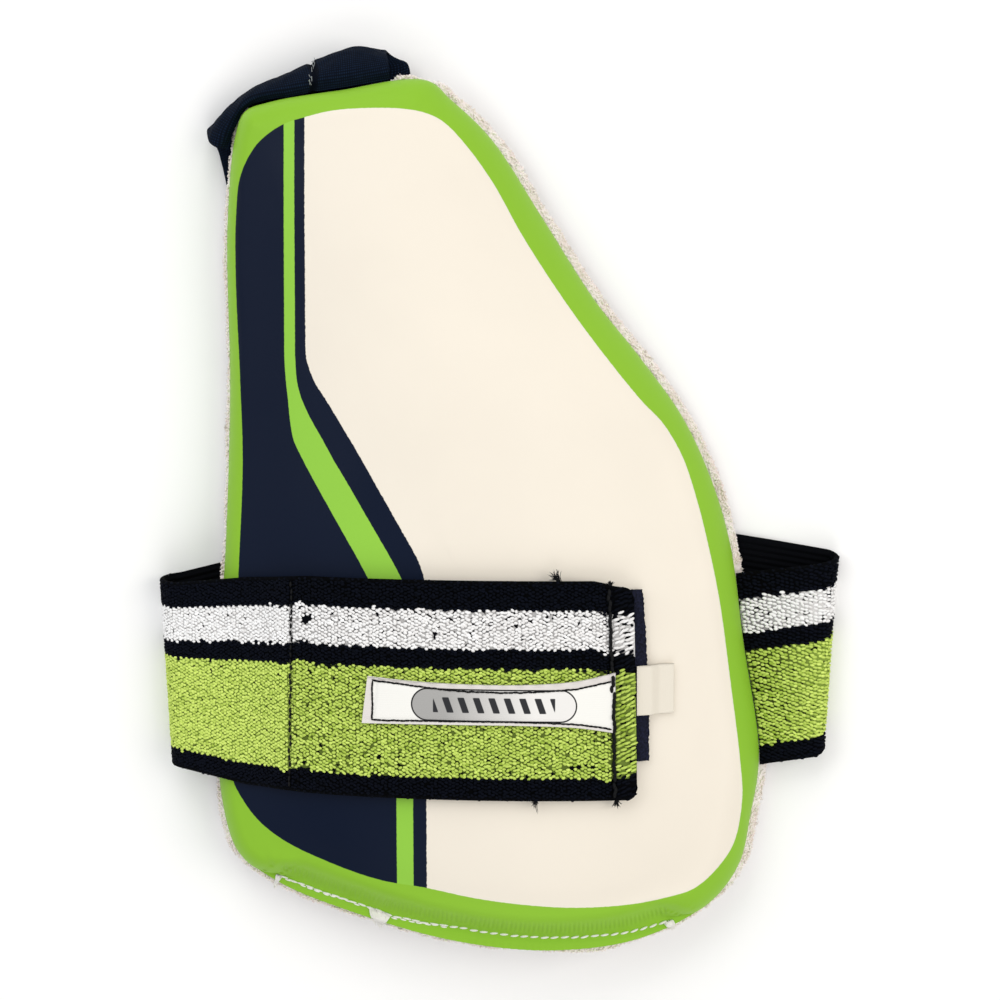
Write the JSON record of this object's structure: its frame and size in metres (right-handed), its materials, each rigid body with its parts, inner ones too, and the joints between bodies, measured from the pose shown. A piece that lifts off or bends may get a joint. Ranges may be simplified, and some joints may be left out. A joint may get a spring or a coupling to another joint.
{
  "type": "inner_thigh_pad",
  "caption": "Cricket inner thigh pad lying face up: arched foam pad with a printed cover, towelling back, navy belt loop and a striped terry elastic strap fastened over its face.",
  "frame": {"origin": "under the middle of the whole, on the surface it lies on", "axes": "+X across the pad to the right as its face is seen, +Y up its length to the belt loop, +Z out of its face"},
  "size_m": [0.2404, 0.3144, 0.0504],
  "materials": {
    "cover": "satin coated cloth, printed",
    "towelling": "looped",
    "webbing": "ribbed",
    "elastic": "terry, striped",
    "hook_tape": "hook and loop",
    "satin": "satin weave"
  },
  "bodies": {
    "root": {"front_shell": "cover", "towel_backing": "towelling", "belt_loop": "webbing", "thigh_strap": "elastic", "fastener_patch": "hook_tape", "strap_label": "satin", "size_tag": "satin"}
  },
  "joints": []
}
